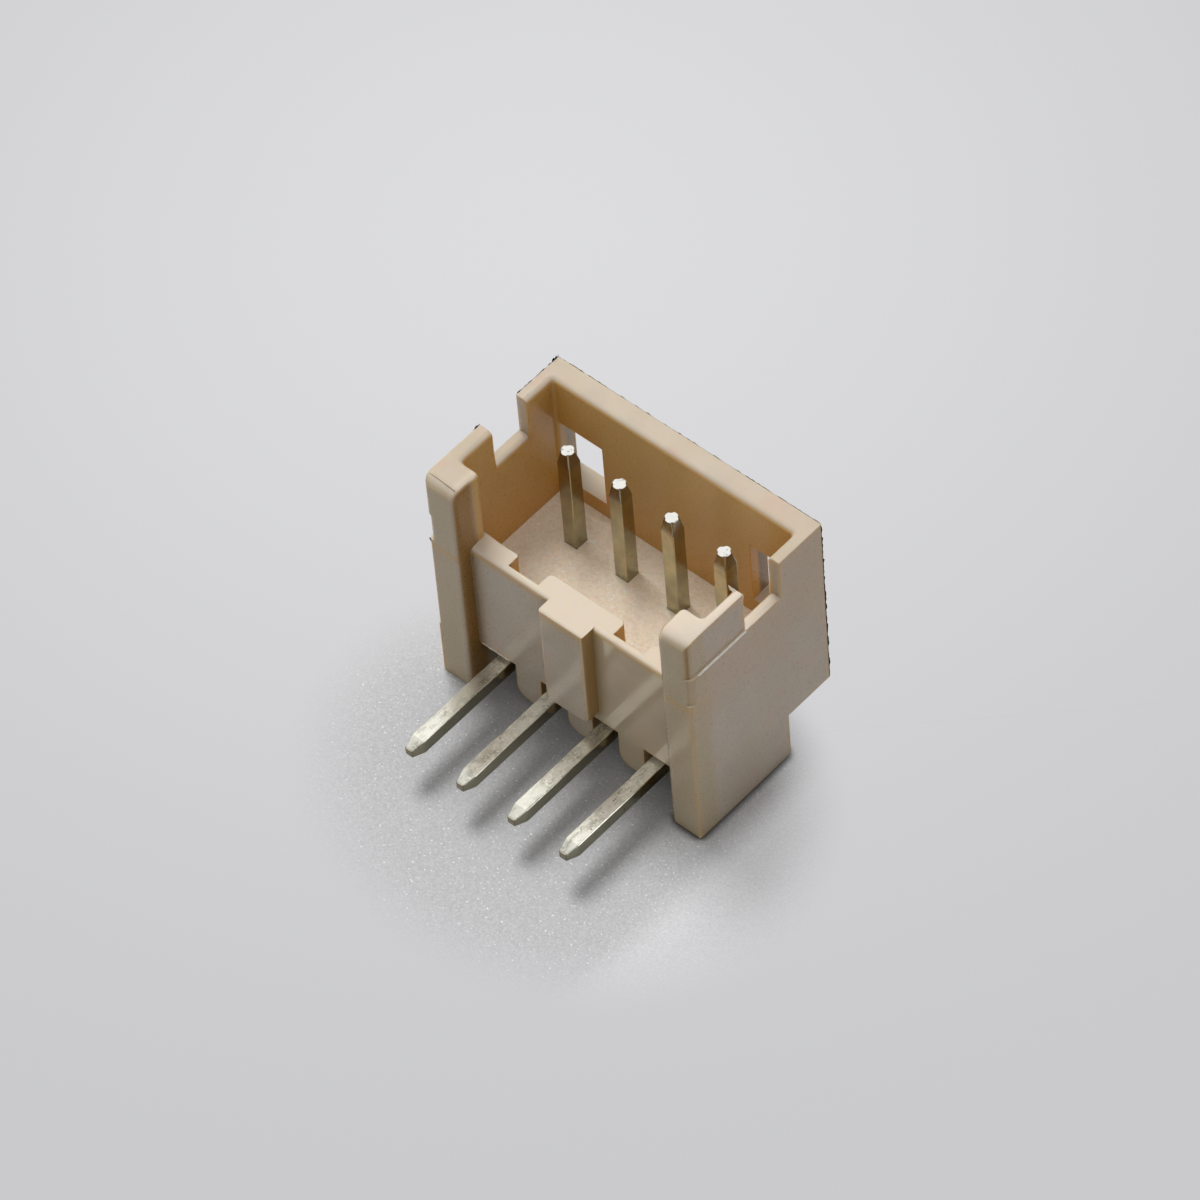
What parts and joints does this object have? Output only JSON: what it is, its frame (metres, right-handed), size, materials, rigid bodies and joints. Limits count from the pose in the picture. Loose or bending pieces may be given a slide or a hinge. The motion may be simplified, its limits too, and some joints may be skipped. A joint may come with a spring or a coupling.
{
  "type": "right-angle pin header",
  "caption": "Shrouded right-angle header that solders to a board's edge and takes a wire plug over its row of bent square pins.",
  "frame": {"origin": "middle of the row of tails, where it crosses the board plane", "axes": "+X along the pin row, +Y away from the board, +Z out of the mating opening"},
  "size_m": [0.0101, 0.0096, 0.0089],
  "materials": {
    "housing_plastic": "natural moulded polyamide, satin gloss",
    "pin_metal": "matt tin plating with cut ends"
  },
  "bodies": {
    "root": {"housing": "housing_plastic", "pin_1": "pin_metal", "pin_2": "pin_metal", "pin_3": "pin_metal", "pin_4": "pin_metal"}
  },
  "joints": []
}
